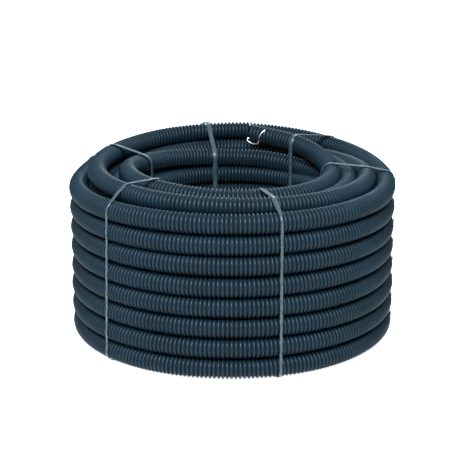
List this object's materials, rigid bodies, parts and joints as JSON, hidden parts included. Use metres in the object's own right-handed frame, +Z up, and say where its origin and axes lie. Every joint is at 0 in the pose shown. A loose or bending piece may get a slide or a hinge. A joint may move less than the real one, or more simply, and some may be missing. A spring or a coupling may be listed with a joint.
{
  "type": "corrugated conduit coil",
  "caption": "Bound coil of flexible corrugated conduit with both ends lying on top, flat ties round the bundle and a draw wire folded over each mouth.",
  "frame": {"origin": "on the floor under the middle of the coil's bore", "axes": "+Z up along the coil's axis, +Y towards the side where both tail ends lie, +X to the right seen from the opposite side"},
  "size_m": [0.3353, 0.3342, 0.1934],
  "materials": {
    "conduit": "dark blue-black moulded plastic with a soft sheen on the rib crests",
    "draw_wire": "bright drawn steel",
    "tie": "thin translucent grey film tape"
  },
  "bodies": {
    "root": {"conduit": "conduit", "draw_wire": "draw_wire", "tie_1": "tie", "tie_2": "tie", "tie_3": "tie", "tie_4": "tie", "tie_5": "tie", "tie_6": "tie"}
  },
  "joints": []
}
